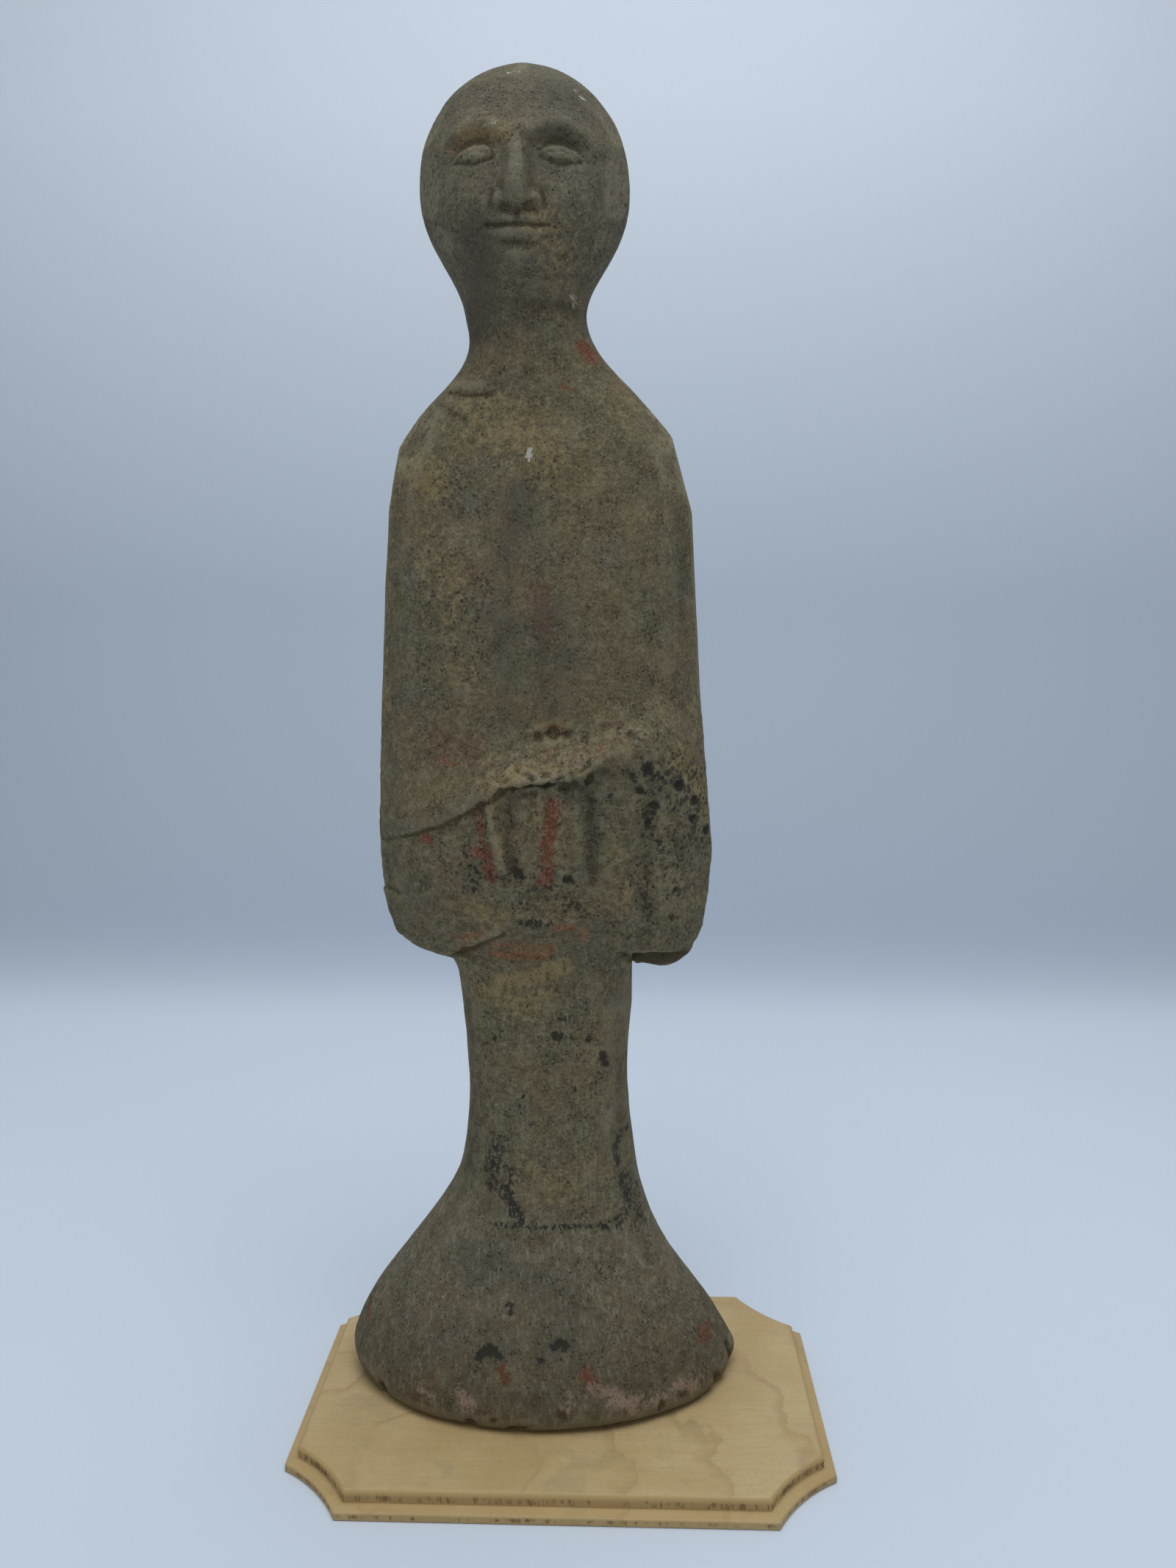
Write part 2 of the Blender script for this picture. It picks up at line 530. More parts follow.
SOOT = (
    (((-20, 40), (8, 36)), 12, 0.5),
    (((-14, 326), (-15, 316), (-19, 306)), 7.0, 1.0),
    (((-2, 342), (6, 350), (8, 360)), 9, 0.6),
    (((-22, 344), (-12, 340)), 5, 0.5),
    (((-5.9, 262), (-8.5, 230), (-8.1, 202)), 6.5, 0.6),
    (((4, 230), (4, 206)), 9, 0.65),
    (((12, 182), (16, 178), (15, 160)), 4.5, 0.55),
    (((-7, 180), (-6, 160)), 4.0, 0.5),
    (((-30, 152), (-24, 149)), 6, 0.45),
    (((-20, 290), (-6, 292)), 4, 0.5),
    (((22, 186), (32, 182)), 6, 0.4),
    (((30, 175), (31, 150)), 4, 0.45),
    (((-14, 76), (-13, 60)), 7, 0.5),
    (((-24, 26), (4, 22)), 12, 0.45),
)
DIRT = (
    (((27.0, 131.8), (33, 130.6), (41, 131.6)), 2.4, 1.0),
    (((24, 133.6), (27.2, 133.2)), 1.2, 0.7),
    (((-24.6, 132.2), (-17.3, 135.6)), 1.1, 0.5),
    (((-42, 166.2), (-34.6, 168.4), (-18.1, 176.2), (-13, 179.2)), 0.7, 0.22),
    (((9, 184), (13, 185.4), (18, 188.6)), 2.2, 0.4),
    (((-23, 288.8), (-18, 287.8), (-13, 287.4)), 0.8, 0.55),
)
OCHRE = (
    (((-12, 182), (-5.4, 186.7)), 3.4, 0.9),
    (((-12.8, 178), (-9.4, 161)), 1.8, 0.7),
    (((-11.7, 126), (-4.8, 127), (7.2, 130.9)), 3.4, 0.85),
    (((-20, 138), (-10, 144)), 4.5, 0.5),
    (((-20, 124), (0, 121)), 8, 0.55),
    (((-26, 150), (-14, 147), (6, 148)), 5, 0.5),
    (((20, 172), (24, 150)), 5, 0.5),
    (((0, 198.6), (9, 198.6)), 2.4, 0.7),
    (((-4, 188), (13, 188)), 3.0, 0.55),
    (((38, 192), (46, 180)), 4.0, 0.7),
    (((-36, 270), (-28, 264)), 7, 0.7),
    (((-16, 282), (2, 272)), 10, 0.55),
    (((-26, 240), (-20, 215)), 10, 0.4),
    (((-45, 262), (-47, 205)), 5, 0.5),
    (((2, 176), (8, 166)), 8, 0.4),
    (((36, 158), (44, 150)), 8, 0.4),
    (((-18, 351), (-8, 350.4)), 3.4, 0.85),
    (((0, 330), (6, 318)), 8, 0.5),
    (((-6, 70), (12, 62)), 9, 0.4),
)
PINK = (
    (((-33.9, 8.4), (-31, 7.4)), 2.0, 0.7),
    (((-21.8, 10), (-18.7, 7.2)), 2.2, 0.85),
    (((9.2, 11), (8.6, 7)), 1.9, 0.8),
    (((15.5, 12), (23, 9.8)), 2.0, 0.85),
    (((22.6, 9), (28.6, 6)), 2.8, 0.95),
    (((33, 6.4), (36, 6)), 2.0, 0.85),
    (((40, 8), (46, 6)), 2.2, 0.85),
    (((-59, 8), (-57.4, 4)), 2.2, 0.9),
    (((-52, 8), (-48, 5)), 1.8, 0.6),
    (((-2, 190), (16, 191)), 5.0, 0.42),
)
SPECKLED = (
    (((32, 188), (42, 182), (43, 168)), 8, 1.1),
    (((30, 182), (30, 150)), 6, 0.85),
    (((-8, 178), (20, 176)), 8, 0.5),
    (((-22, 162), (12, 150)), 9, 0.7),
    (((36, 158), (38, 142)), 7, 0.75),
    (((4, 114), (16, 104)), 9, 0.5),
    (((-16, 110), (-14, 96)), 6, 0.45),
    (((-28, 248), (-16, 222)), 12, 0.45),
    (((-14, 76), (26, 60)), 9, 0.3),
    (((0, 26), (40, 20)), 12, 0.3),
    (((-20, 350), (16, 336)), 16, 0.3),
)
WHITE = (
    (((-2.2, 272.4), (-2.2, 270.2)), 0.9, 1.2),
    (((8.4, 314.4), (10.4, 312.2)), 0.8, 0.66),
    (((9.8, 314.2), (9.2, 311.8)), 0.7, 0.66),
    (((-14, 352), (-10, 352.4)), 0.9, 0.5),
    (((-7.5, 368), (-5, 368)), 1.2, 0.55),
    (((10, 363.6), (12, 362)), 1.0, 0.55),
)


def hill(distance, width):
    """A round hill, 1 high where there is no distance."""
    return np.exp(-((distance / width) ** 2))


def rise(low, high, at):
    """0 up to low, 1 from high on, and smooth between them. It falls instead where high is the lower."""
    share = np.clip((at - low) / (high - low), 0, 1)
    return share * share * (3 - 2 * share)


def in_band(band, at):
    """1 within a band, which has the places where it starts and is full, and where it ends and is full."""
    return rise(*band[0], at) * rise(*band[1], at)


def between(knots, at):
    """Straight lines between knots of (place, value)."""
    return np.interp(at, *zip(*knots))


def from_path(path, across, level):
    """How far each point lies from a path of straight runs over the man's front."""
    nearest = np.full(len(across), np.inf)
    for (x0, z0), (x1, z1) in zip(path, path[1:]):
        run = (x1 - x0) ** 2 + (z1 - z0) ** 2
        share = np.clip(((across - x0) * (x1 - x0) + (level - z0) * (z1 - z0)) / run, 0, 1)
        away = np.hypot(across - x0 - share * (x1 - x0), level - z0 - share * (z1 - z0))
        nearest = np.minimum(nearest, away)
    return nearest


def mottled(places, size, seed, chosen=None):
    """Seeded noise from -1 to 1 at the chosen places, whose lumps are about this many millimetres."""
    shift = Vector((seed * 17.3, seed * 5.1, seed * 9.7))
    found = np.zeros(len(places))
    for index in np.flatnonzero(np.ones(len(places)) if chosen is None else chosen):
        found[index] = noise.noise(Vector(places[index]) / size + shift)
    return found


def in_layers(places, layers, chosen=None):
    """Layers of seeded noise on top of each other at the chosen places."""
    return sum(height * mottled(places, size, seed, chosen) for height, size, seed in layers)


def in_spots(places, lost, chosen):
    """How deep the clay is lost in spots at the chosen places."""
    depth, size, seed, ends = lost
    return depth * rise(*ends, mottled(places, size, seed, chosen))


def closed_skin(node, gap):
    """The solid's form as an even closed mesh, its facets rounded away."""
    mesh = bmesh.new()
    mesh.from_mesh(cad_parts[node].data)
    bmesh.ops.remove_doubles(mesh, verts=mesh.verts, dist=TOUCHING)
    bmesh.ops.join_triangles(
        mesh, faces=mesh.faces, angle_face_threshold=QUAD_ANGLE, angle_shape_threshold=QUAD_SHAPE
    )
    data = bpy.data.meshes.new(node + "_form")
    mesh.to_mesh(data)
    mesh.free()
    form = bpy.data.objects.new(node + "_form", data)
    bpy.context.scene.collection.objects.link(form)
    rounding = form.modifiers.new("rounding", "SUBSURF")
    rounding.levels = rounding.render_levels = ROUNDING_LEVELS
    skin = form.modifiers.new("skin", "REMESH")
    skin.mode = "VOXEL"
    skin.voxel_size = gap
    evaluated = form.evaluated_get(bpy.context.evaluated_depsgraph_get())
    mesh = bmesh.new()
    mesh.from_mesh(evaluated.to_mesh())
    evaluated.to_mesh_clear()
    bpy.data.objects.remove(form)
    bpy.data.meshes.remove(data)
    return mesh


def on_man(points):
    """Points as millimetres across from his middle, deep from his middle and up from his foot."""
    return ((points - MAN_MIDDLE) * MILLIMETRES).T


def in_fine_skin(vert):
    across, deep, level = on_man(np.array(vert.co))
    return deep < 0 and any(a <= across <= b and c <= level <= d for a, b, c, d in FINE_SKIN)


def soften(mesh, verts, passes):
    """Moves each point halfway to the middle of its neighbours, this many times."""
    for _ in range(passes):
        bmesh.ops.smooth_vert(
            mesh, verts=verts, factor=0.5, use_axis_x=True, use_axis_y=True, use_axis_z=True
        )


man_mesh = closed_skin("terracotta_man", SKIN_GAP)
soften(man_mesh, man_mesh.verts, SKIN_SMOOTHING)
fine = {vert for vert in man_mesh.verts if in_fine_skin(vert)}
fine_edges = [edge for edge in man_mesh.edges if edge.verts[0] in fine and edge.verts[1] in fine]
bmesh.ops.subdivide_edges(man_mesh, edges=fine_edges, cuts=1, use_grid_fill=True)
fine = [vert for vert in man_mesh.verts if in_fine_skin(vert)]
soften(man_mesh, fine, FINE_SKIN_SMOOTHING)
man_data = bpy.data.meshes.new("terracotta_skin")
man_mesh.to_mesh(man_data)
man_mesh.free()


class Skin:
    """The points of a mesh in millimetres on the man, and the way each one faces."""

    def __init__(self, data):
        self.data = data
        self.read()

    def read(self):
        count = len(self.data.vertices)
        points, normals = np.empty(count * 3), np.empty(count * 3)
        self.data.vertices.foreach_get("co", points)
        self.data.vertex_normals.foreach_get("vector", normals)
        self.across, self.deep, self.level = on_man(points.reshape(-1, 3))
        self.normals = normals.reshape(-1, 3)
        self.facing = rise(*FACES_FRONT, -self.normals[:, 1])

    def write(self):
        points = self.places() / MILLIMETRES + MAN_MIDDLE
        self.data.vertices.foreach_set("co", points.reshape(-1))
        self.data.update()
        self.read()

    def press(self, depth):
        """Presses each point in along the way it faces, by a depth of its own."""
        for name, part in zip(("across", "deep", "level"), self.normals.T):
            setattr(self, name, getattr(self, name) - part * depth)
        self.write()

    def places(self):
        return np.stack((self.across, self.deep, self.level), axis=1)

    def farthest(self, reach, level):
        """The most that the points within a millimetre of a level reach."""
        return reach[np.abs(self.level - level) < 1].max()

    def store(self, name, values):
        """Keeps a value for each point as an attribute that the material reads."""
        attribute = self.data.attributes.new(name, "FLOAT", "POINT")
        attribute.data.foreach_set("value", values.astype(np.float32))


skin = Skin(man_data)
pressed = np.zeros(len(skin.level))
for path, width, depth in TOOL_STROKES:
    pressed += depth * hill(from_path(path, skin.across, skin.level), width) * skin.facing
places = skin.places()
near_crest = (np.abs(skin.level - between(CREST, skin.across)) < RAGGED_REACH) & (skin.deep < 0)
ragged = in_layers(places, RAGGED_CREST, near_crest)
by_hands = in_band(BY_HANDS, skin.across)
under_crest = between(CREST, skin.across) - skin.level + ragged * by_hands
rounded = rise(CREST_STARTS, between(CREST_ROUNDS, skin.across), under_crest)
set_back = between(CREST_SET_BACK, skin.across) * rounded
pressed += set_back * (1 - rise(*CREST_FADES, under_crest)) * skin.facing
beside, over_chin = np.abs(skin.across - FACE_ACROSS), skin.level - CHIN_LEVEL
for form_across, form_level, half_width, half_height, relief in FACE_FORMS:
    form = hill(beside - form_across, half_width) * hill(over_chin - form_level, half_height)
    pressed -= relief * form * skin.facing
for path, width, depth in FACE_STROKES:
    pressed += depth * hill(from_path(path, beside, over_chin), width) * skin.facing
nose_width = between([(level, width) for level, width, relief in NOSE], over_chin)
nose_relief = between([(level, relief) for level, width, relief in NOSE], over_chin)
pressed -= nose_relief * hill(beside, nose_width) * skin.facing * rise(*NOSE_STARTS, over_chin)
for pit_across, pit_level, radius, depth in PITS:
    share = np.hypot(skin.across - pit_across, skin.level - pit_level) / radius
    pressed += depth * np.clip(1 - share**2, 0, 1) * skin.facing
for side, path, width, depth in SIDE_MARKS:
    sideways = rise(*FACES_SIDEWAYS, side * skin.normals[:, 0])
    pressed += depth * hill(from_path(path, skin.deep, skin.level), width) * sideways
skin.press(pressed)

# The knife's strips. Each is flat, and straight between its levels.
pared = np.zeros(len(skin.level))
for side, angle, levels in PARED_STRIPS:
    out, forward = side * math.cos(math.radians(angle)), math.sin(math.radians(angle))
    reach = skin.across * out - skin.deep * forward
    knots = []
    for level, depth in levels:
        knots.append((level, skin.farthest(reach, level) - depth))
    cut = reach - between(knots, skin.level)
    cut[(skin.level < levels[0][0]) | (skin.level > levels[-1][0])] = 0
    cut = np.clip(cut, 0, DEEPEST_PARING)
    skin.across -= out * cut
    skin.deep += forward * cut
    pared = np.maximum(pared, rise(*PARED_FROM, cut))

# The hems, with the broken one's lower lip and the cuffs' outer corners.
left_of_robe, right_of_robe = skin.across < -ROBE_SIDE, skin.across > ROBE_SIDE
near_hem = (skin.level > HEM_LEVELS[0]) & (skin.level < HEM_LEVELS[1])
lip_across, lip_width, lip_drop = LOWER_LIP_OF_BREAK
drop = lip_drop * hill(skin.across - lip_across, lip_width) * rise(*LOWER_LIP_LEVELS, skin.level)
skin.level -= drop * near_hem * right_of_robe * rise(*LOWER_LIP_DEEP, skin.deep)
for side, outline in CUFF_CORNERS:
    outwards = side * skin.across
    short = [(level, max(0, wanted - skin.farthest(outwards, level))) for level, wanted in outline]
    skin.across += side * between(short, skin.level) * rise(*CUFF_CORNER_STARTS, outwards) * near_hem
lifted = np.maximum(skin.level, between(LEFT_HEM, skin.across))
skin.level = np.where(near_hem & left_of_robe, lifted, skin.level)
behind_break = rise(*RIGHT_HEM_BREAK, skin.deep)
front_hem, back_hem = between(RIGHT_HEM_FRONT, skin.across), between(RIGHT_HEM_BACK, skin.across)
lifted = np.maximum(skin.level, front_hem * (1 - behind_break) + back_hem * behind_break)
skin.level = np.where(near_hem & right_of_robe, lifted, skin.level)
skin.write()

# The clay is uneven under the hand, and rough with grit where the earth still clings to it. Its lower
# rim is chipped, and stands a little off the base at the front right.
places = skin.places()
gritty = in_band(GRITTY_LEVELS, skin.level)
uneven = in_layers(places, UNEVEN_CLAY) * (1 - PARING_EVENS * pared)
clinging = in_layers(places, CLINGING_EARTH, gritty) * gritty * (1 - PARING_CLEARS * pared)
by_rim = rise(*RIM_LEVELS, skin.level)
chips = in_spots(places, CHIPS, by_rim) * by_rim
on_crest = hill(skin.level - between(CREST, skin.across), CRUMBLED_HALF_WIDTH) * by_hands * skin.facing
crumbled = in_spots(places, CRUMBS, on_crest > 0.05) * on_crest
skin.press(uneven + clinging + chips + crumbled)
gap_across, gap_half_width = RIM_GAP_ACROSS
rim_gap = RIM_GAP * hill(skin.across - gap_across, gap_half_width) * rise(*RIM_GAP_DEEP, skin.deep)
rim_gap *= rise(*RIM_GAP_LEVELS, skin.level)
skin.level = np.clip(skin.level + rim_gap, 0, MAN_TOP)
skin.write()


def evened(values, edges, passes):
    """Each point's value evened out with its neighbours' along the edges, this many times."""
    count = len(values)
    starts, ends = edges[:, 0], edges[:, 1]
    neighbours = np.bincount(starts, minlength=count) + np.bincount(ends, minlength=count)
    for _ in range(passes):
        sums = np.bincount(starts, values[ends], count)
        values = (sums + np.bincount(ends, values[starts], count)) / neighbours
    return values


def laid_on(marks):
    """How thick marks on his front lie on each point."""
    amount = np.zeros(len(skin.level))
    for path, width, strength in marks:
        amount = np.maximum(amount, strength * hill(from_path(path, skin.across, skin.level), width))
    return amount * skin.facing


skin_edges = np.empty(len(man_data.edges) * 2, dtype=np.int32)
man_data.edges.foreach_get("vertices", skin_edges)
skin_edges = skin_edges.reshape(-1, 2)
sunken = sum(
    (evened(values, skin_edges, HOLLOW_PASSES) - values) * part
    for values, part in zip((skin.across, skin.deep, skin.level), skin.normals.T)
)
sunken -= evened(sunken, skin_edges, WIDE_FORM_PASSES)
skin.store("hollow", np.clip(sunken / FULL_HOLLOW, -0.5, 0.5) + 0.5)
skin.store("pared", pared)
for name, marks in (("red", RED_PAINT), ("orange", ORANGE_PAINT), ("faint_red", FAINT_RED),
                    ("black", BLACK_PAINT), ("soot", SOOT), ("dirt", DIRT), ("ochre", OCHRE), ("pink", PINK),
                    ("speckled", SPECKLED), ("white", WHITE)):
    skin.store(name, laid_on(marks))

BROWN = (0.184, 0.139, 0.075, 1)
OLIVE = (0.155, 0.131, 0.074, 1)
GREY = (0.158, 0.134, 0.090, 1)
BUFF = (0.36, 0.31, 0.195, 1)
DEEP = (0.056, 0.038, 0.017, 1)
BLACK = (0.030, 0.028, 0.024, 1)
SOOTY = (0.078, 0.067, 0.051, 1)
RED = (0.215, 0.062, 0.036, 1)
ORANGE = (0.29, 0.120, 0.054, 1)
RUST = (0.180, 0.088, 0.052, 1)
YELLOW = (0.300, 0.212, 0.090, 1)
ROSE = (0.33, 0.230, 0.165, 1)
CHALK = (0.55, 0.50, 0.40, 1)
CLAY_EVENLY = (0.14, 0.12, 0.07)
CLAY_ROUGHNESS = 0.85
CLAY_SPECULAR = 0.18

clay, clay_shader, finish = new_material("worn_terracotta", CLAY_EVENLY, CLAY_ROUGHNESS)
clay_shader.inputs["Specular IOR Level"].default_value = CLAY_SPECULAR
on_object = finish.node("TexCoord", output=3)
to_middle = tuple(-MAN_MIDDLE * MILLIMETRES)
place = finish.node(
    "Mapping", {}, {"Vector": on_object, "Location": to_middle, "Scale": (MILLIMETRES,) * 3}
)
broad = place.grain(24, 3)
patches = place.moved("ADD", (40, 70, 20)).grain(11, 4, 0.6)
middling = place.grain(6, 4, 0.6)
felt = place.grain(2.0, 4, 0.62)
grit = place.grain(0.74, 4, 0.75)
flaked = place.moved("MULTIPLY", (1, 1, 0.7)).grain(1.2, 5, 0.75)
lengthways = place.moved("MULTIPLY", (1, 1, 0.12)).grain(1.0, 4, 0.65)
fibre_one = place.moved("MULTIPLY", (0.3, 0.6, 1.1)).grain(0.6, 2)
fibre_two = finish.node("Mapping", {}, {"Vector": place, "Rotation": (0, 0.9, 0.4), "Scale": (1.1, 0.6, 0.3)})
fibres = fibre_one.either(fibre_two.grain(0.6, 2)).rising(0.62, 0.74) * middling.rising(0.42, 0.62)
level = place.axis(2)
on_head = level.rising(296, 318)
on_robe = level.rising(134, 122)
on_skirt = level.rising(78, 44)
by_foot = level.rising(46, 8)
hollow = finish.painted("hollow")
pared_edge = finish.painted("pared")

# The fired clay, and the earth and soot rubbed into it.
colour = (broad * 0.5 + patches * 0.5).rising(0.42, 0.58).mix(BROWN, OLIVE)
colour = (patches.rising(0.56, 0.66) * 0.6).mix(colour, GREY)
colour = (on_head * 0.5).either(on_skirt * (0.2 + lengthways.rising(0.4, 0.6) * 0.6)).mix(colour, GREY)
colour = (middling.rising(0.48, 0.66) * 0.34).mix(colour, DEEP)
colour = (middling.rising(0.46, 0.32) * 0.22).mix(colour, BUFF)
colour = (on_skirt.either(on_robe * 0.5) * lengthways.rising(0.52, 0.64) * 0.55).mix(colour, BUFF)
colour = (finish.left_of("ochre", 1.1, felt, 2.6, 0.30, 0.6) * 0.75).mix(colour, YELLOW)
colour = ((pared_edge * 0.36) * felt.rising(0.3, 0.5)).mix(colour, BUFF)
colour = (finish.left_of("faint_red", 1.0, flaked, 2.4, 0.30, 0.6) * 0.7).mix(colour, RUST)

# What is left of the red and orange paint.
colour = (finish.left_of("red", 1.4, flaked, 3.8, 0.60, 0.4) * 0.9).mix(colour, RED)
colour = (finish.left_of("orange", 1.4, flaked, 3.8, 0.60, 0.4) * 0.9).mix(colour, ORANGE)

# The grain of the clay, finest and sharpest over the coat. Then the flakes that bare the pink clay, the
# soot, and what is left of the black and white paint.
sharpness = 1 - on_skirt * 0.3
colour = (felt.rising(0.52, 0.70) * 0.32).mix(colour, BUFF)
colour = (felt.rising(0.48, 0.32) * 0.42).mix(colour, DEEP)
colour = (grit.rising(0.50, 0.66) * sharpness * 0.46).mix(colour, BUFF)
colour = (grit.rising(0.48, 0.33) * sharpness * 0.62).mix(colour, DEEP)
colour = (fibres * 0.5).mix(colour, BUFF)
colour = (by_foot * 0.34).either(level.rising(345, 364) * 0.36).mix(colour, DEEP)
rose_grain = (grit.rising(0.54, 0.36) * 0.5).mix(ROSE, RUST)
colour = (finish.left_of("pink", 1.4, flaked, 4.4, 0.66, 0.3) * 0.85).mix(colour, rose_grain)
soot = finish.painted("soot") + (broad - 0.5) * 1.2 + (felt - 0.5) * 1.6 - 0.25
colour = (soot.rising(0.0, 0.7) * 0.55).mix(colour, SOOTY)
black_left = finish.left_of("black", 1.5, flaked, 4.0, 0.70, 0.3)
colour = (black_left * 0.9).mix(colour, BLACK)
colour = finish.left_of("white", 1.2, flaked, 3.0, 0.6, 0.3).mix(colour, CHALK)

# Black specks and pits, thick on the cuffs and few elsewhere.
speckled = finish.painted("speckled") * 0.40 + middling * 0.7
warped = place.moved("ADD", place.grain(1.3, 3, output=1).moved("MULTIPLY", (1.1, 1.1, 1.1)))
large_specks = (speckled - 0.50 - warped.crumbs(4.2)).rising(0.0, 0.06)
small_specks = (speckled * 0.9 - 0.22 - warped.crumbs(1.7)).rising(0.0, 0.10)
pinholes = (middling * 0.55 + patches * 0.35 - 0.26 - place.crumbs(1.45)).rising(0.0, 0.06)
colour = (pinholes * 0.8).mix(colour, DEEP)
specks = large_specks.either(small_specks * 0.8)
colour = (specks * 0.85).mix(colour, BLACK)

# Hollows hold dirt, and the edges are rubbed.
colour = (hollow.rising(0.53, 0.95) * 0.6).mix(colour, DEEP)
colour = (hollow.rising(0.46, 0.15) * 0.3).mix(colour, BUFF)
dirt = finish.painted("dirt") + (felt - 0.5) * 0.8
colour = (dirt.rising(0.1, 0.8) * 0.8).mix(colour, DEEP)
colour.to(clay_shader, "Base Color")
(0.88 - on_head * 0.12 - black_left * 0.1).to(clay_shader, "Roughness")
surface = felt + grit * 0.9 + fibres * 0.2 + lengthways * 0.4 - specks.either(pinholes * 0.8) * 0.7
bump = finish.node("Bump", {}, {"Strength": 0.7, "Distance": 0.0005, "Height": surface})
bump.to(clay_shader, "Normal")

man = new_piece("terracotta_man_skin", man_data, clay)
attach(man, "root")
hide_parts("terracotta_man")

# The base. It is a stock plaque of pale bare basswood, its edge milled with a small step and its
# corners scooped, with torn grain where the cutter crossed the fibres.
BOARD_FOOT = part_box("wooden_base")[0].z * MILLIMETRES
BOARD_GAP = 0.0005
BOARD_LONG_EDGE = 0.0012
BOARD_LONG_EDGE_CUTS = 3
BOARD_FLAT = math.radians(1)
BOARD_SHARP = math.radians(32)

# The faces that get an inner rim: they lie level, and have more corners than the strips round the edge.
TOP_RIM = 0.0006
LEVEL_FACE = 0.99
STRIP_CORNERS = 8

# The torn grain on the milled wall and on the lower edge. The bands have the heights where each starts
# and is full, and where it ends and is full. The noise has layers, with the size of a tear along the
# edge and up it, a shift and a share.
WALL_BAND = ((2.85, 3.15), (5.3, 4.8))
EDGE_BAND = ((0.45, 0.75), (1.95, 1.65))
WALL_TEARS = 0.38
STRAIGHT_TEARS = 0.7
SCOOPED_TEARS = 0.5
EDGE_TEARS = 0.16
SCOOPED = (0.35, 0.6)
TEAR_LAYERS = ((0.8, 2.6, 0, 0.7), (2.3, 5.0, 7, 0.35), (16, math.inf, 3.3, 0.35))
TEAR_IN_SCOOPS = 0.2
TEAR_SHOWS = (-0.35, 0.6)
EDGE_TEAR_TINT = 0.85
SPLINTER_TINT = 1.3
FACES_FORWARD = -0.9

# Splinters gone from the front edge: across from the middle, height, half width, half height and depth.
SPLINTERS = (
    (-61.2, 1.3, 0.5, 0.7, 0.5), (-52.8, 1.2, 0.5, 0.6, 0.5), (-37.6, 1.0, 0.6, 0.5, 0.5),
    (-15.4, 1.0, 0.6, 0.5, 0.5), (-11.2, 1.1, 0.5, 0.5, 0.5), (-7.4, 1.1, 0.6, 0.7, 0.7),
)

board_mesh = bmesh.new()
board_mesh.from_mesh(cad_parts["wooden_base"].data)
bmesh.ops.remove_doubles(board_mesh, verts=board_mesh.verts, dist=TOUCHING)
bmesh.ops.dissolve_limit(
    board_mesh, angle_limit=BOARD_FLAT, verts=board_mesh.verts, edges=board_mesh.edges
)


def columns(mesh):
    """The edges along the outline, in groups that stand over each other on the moulded edge."""
    mesh.edges.index_update()
    waiting = {edge for edge in mesh.edges if abs(edge.verts[0].co.z - edge.verts[1].co.z) < TOUCHING
               and any(len(face.verts) == 4 for face in edge.link_faces)}
    groups = []
    while waiting:
        start = min(waiting, key=lambda edge: edge.index)
        waiting.discard(start)
        group, ends = [start], [start]
        while ends:
            edge = ends.pop()
            for face in edge.link_faces:
                if len(face.verts) == 4:
                    across = [other for other in face.edges if not set(other.verts) & set(edge.verts)]
                    for other in across:
                        if other in waiting:
                            waiting.discard(other)
                            group.append(other)
                            ends.append(other)
        groups.append(group)
    return groups


for group in columns(board_mesh):
    cuts = round(max(edge.calc_length() for edge in group) / BOARD_GAP) - 1
    if cuts > 0:
        bmesh.ops.subdivide_edges(board_mesh, edges=group, cuts=cuts, use_grid_fill=True)
long_edges = [edge for edge in board_mesh.edges if edge.calc_length() > BOARD_LONG_EDGE]
bmesh.ops.subdivide_edges(board_mesh, edges=long_edges, cuts=BOARD_LONG_EDGE_CUTS, use_grid_fill=True)
board_mesh.normal_update()
level_faces = [
    face for face in board_mesh.faces if len(face.verts) > STRIP_CORNERS and abs(face.normal.z) > LEVEL_FACE
]
bmesh.ops.inset_region(board_mesh, faces=level_faces, thickness=TOP_RIM, use_even_offset=False)


def torn_at(across, deep, up, scooped):
    """How torn the grain is at a place on the board, from not at all to 1."""
    amount = sum(
        noise.noise(Vector((across / size, deep / size, up / length + shift))) * share
        for size, length, shift, share in TEAR_LAYERS
    )
    return rise(*TEAR_SHOWS, amount + scooped * TEAR_IN_SCOOPS)


# The torn grain. It runs up and down the wall and the edge, and is deepest in the scoops.
torn = board_mesh.verts.layers.float.new("torn")
board_mesh.normal_update()
tears = []
for vert in board_mesh.verts:
    across, deep = vert.co.x * MILLIMETRES, vert.co.y * MILLIMETRES
    up = vert.co.z * MILLIMETRES - BOARD_FOOT
    wall_share, edge_share = in_band(WALL_BAND, up), in_band(EDGE_BAND, up)
    if max(wall_share, edge_share) == 0:
        continue
    scooped = rise(*SCOOPED, min(abs(vert.normal.x), abs(vert.normal.y)))
    tear = torn_at(across, deep, up, scooped)
    wall_tears = WALL_TEARS * (STRAIGHT_TEARS + SCOOPED_TEARS * scooped)
    depth = tear * (wall_tears * wall_share + EDGE_TEARS * edge_share)
    if vert.normal.y < FACES_FORWARD:
        for splinter, at, half_width, half_height, lost in SPLINTERS:
            near = hill(across - splinter, half_width) * hill(up - at, half_height)
            depth = max(depth, lost * near * edge_share)
            tear = max(tear, SPLINTER_TINT * near * edge_share)
    vert[torn] = max(tear * wall_share, tear * edge_share * EDGE_TEAR_TINT)
    tears.append((vert, Vector((vert.normal.x, vert.normal.y, 0)).normalized() * depth / MILLIMETRES))
for vert, inwards in tears:
    vert.co -= inwards

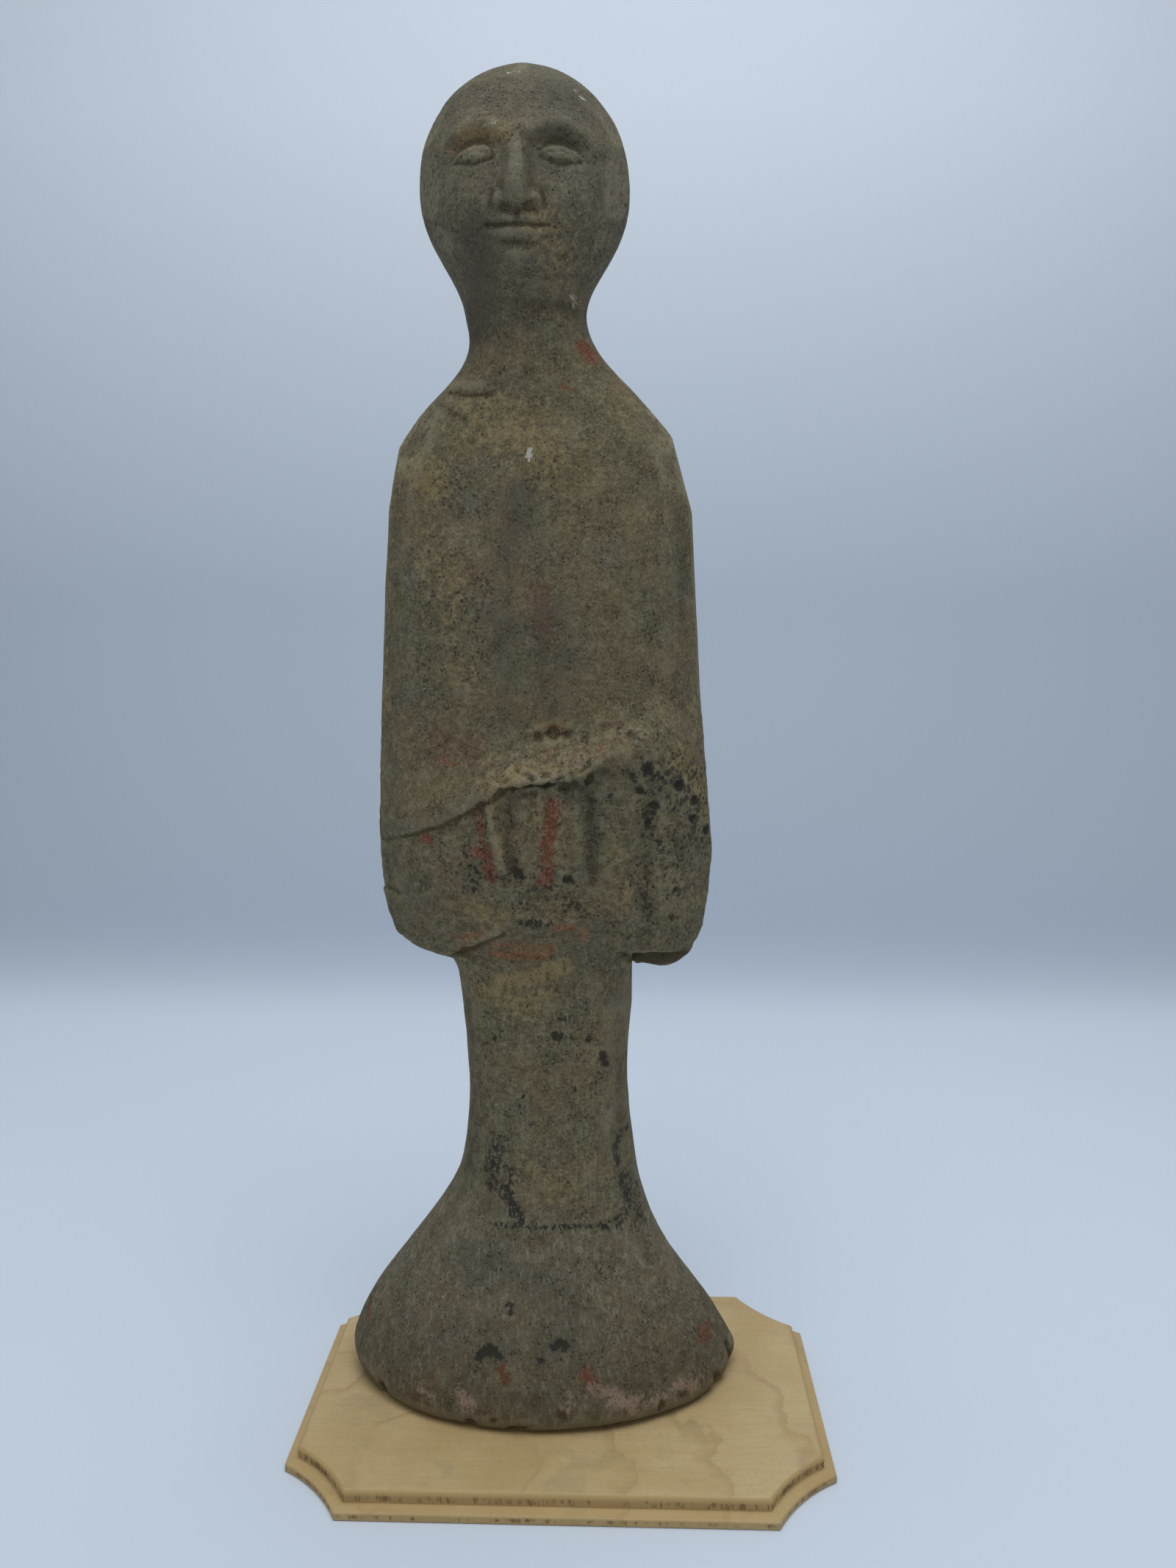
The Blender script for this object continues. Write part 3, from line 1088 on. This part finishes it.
TAN = (0.535, 0.366, 0.163, 1)
PALE_TAN = (0.60, 0.428, 0.209, 1)
WARM_TAN = (0.46, 0.290, 0.100, 1)
RING_BROWN = (0.40, 0.245, 0.10, 1)
TORN_BROWN = (0.225, 0.125, 0.042, 1)
GRIME = (0.30, 0.225, 0.125, 1)
WOOD_EVENLY = (0.53, 0.37, 0.17)
WOOD_ROUGHNESS = 0.6

# The rings of the tree: where their heart lies, and how far apart they are across and deep.
RING_HEART = (-34, -36, 0)
RINGS_APART = (27, 21)

wood, wood_shader, finish = new_material("bare_basswood", WOOD_EVENLY, WOOD_ROUGHNESS)
place = finish.node("Mapping", {}, {"Vector": finish.node("TexCoord", output=3), "Scale": (MILLIMETRES,) * 3})
along = place.moved("MULTIPLY", (0.05, 1, 1))
fibre = along.grain(0.5, 4, 0.65)
streaks = along.grain(3.2, 3)
clouds = place.grain(22, 3)
wander = place.grain(24, 4, output=1).moved("SUBTRACT", (0.5, 0.5, 0.5)).moved("MULTIPLY", (1.5, 1.5, 0))
ring_scale = (1 / RINGS_APART[0], 1 / RINGS_APART[1], 0)
from_heart = place.moved("SUBTRACT", RING_HEART).moved("MULTIPLY", ring_scale).moved("ADD", wander)
rings_out = from_heart.moved("LENGTH", output=1)
rings = rings_out.math("FRACT", rings_out)
ring_line = rings.rising(0.80, 0.97) * rings.rising(1.0, 0.96)
pins = (0.050 - place.moved("MULTIPLY", (0.5, 1, 1)).crumbs(5.5)).rising(0.0, 0.025)
torn_grain = finish.painted("torn")
ticks = place.moved("MULTIPLY", (1, 1, 0.2)).grain(0.7, 3, 0.6)
height = place.axis(2) - BOARD_FOOT
on_wall = height.rising(2.85, 3.05) * height.rising(5.15, 4.95)
on_shoulder = height.rising(4.9, 5.2) * height.rising(6.34, 6.1)
on_side = height.rising(6.3, 6.1)

colour = clouds.rising(0.35, 0.65).mix(TAN, PALE_TAN)
colour = (streaks.rising(0.45, 0.65) * 0.12).mix(colour, WARM_TAN)
colour = (fibre.rising(0.46, 0.66) * 0.30).mix(colour, WARM_TAN)
colour = (place.grain(1.1, 4, 0.7).rising(0.48, 0.64) * 0.22).mix(colour, RING_BROWN)
colour = (ring_line * clouds.rising(0.30, 0.54) * 0.52).mix(colour, RING_BROWN)
colour = (pins * 0.5).mix(colour, RING_BROWN)
colour = (place.grain(13, 3).rising(0.56, 0.70) * 0.26).mix(colour, GRIME)
colour = (on_side * 0.45).mix(colour, WARM_TAN)
colour = (on_shoulder * 0.6).mix(colour, WARM_TAN)
colour = (on_wall * 0.4).mix(colour, RING_BROWN)
torn_here = torn_grain + (ticks - 0.5) * 2.2 * torn_grain.rising(0.0, 0.3)
colour = (torn_here.rising(0.28, 0.85) * 0.8).mix(colour, TORN_BROWN)
colour.to(wood_shader, "Base Color")
(0.62 - fibre * 0.1 + torn_grain * 0.15).to(wood_shader, "Roughness")
surface = fibre * 0.25 + ticks * torn_grain * 1.2
bump = finish.node("Bump", {}, {"Strength": 0.5, "Distance": 0.0003, "Height": surface})
bump.to(wood_shader, "Normal")

board = new_piece("moulded_board", board_mesh, wood)
board.data.set_sharp_from_angle(angle=BOARD_SHARP)
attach(board, "root")
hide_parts("wooden_base")
